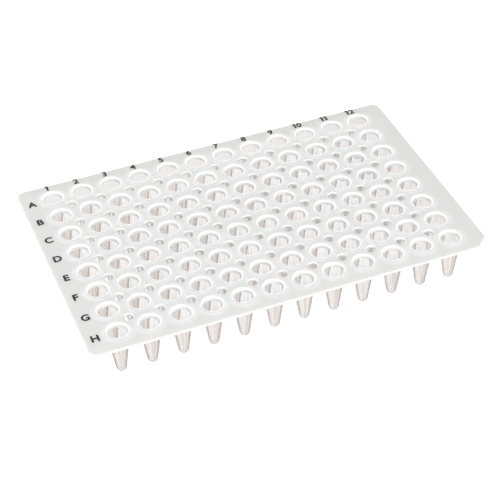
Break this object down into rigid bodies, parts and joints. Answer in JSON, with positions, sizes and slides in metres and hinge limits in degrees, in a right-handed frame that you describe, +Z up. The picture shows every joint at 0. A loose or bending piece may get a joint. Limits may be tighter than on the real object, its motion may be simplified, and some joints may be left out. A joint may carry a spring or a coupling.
{
  "type": "well plate",
  "caption": "Thin flat deck with a grid of open thin-walled tapered wells hanging below it, each mouth ringed by a low raised rim, and a cut corner.",
  "frame": {"origin": "under the middle of the deck, in the plane of the well tips that the plate stands on", "axes": "+X along the rows from column 1 to column 12, +Y across the rows towards row A, +Z up out of the well mouths"},
  "size_m": [0.118, 0.0766, 0.0143],
  "materials": {
    "clear_polypropylene": "frosted deck, clear glossy wells",
    "label_ink": "printed black"
  },
  "bodies": {
    "root": {"well_plate": "clear_polypropylene"}
  },
  "joints": []
}
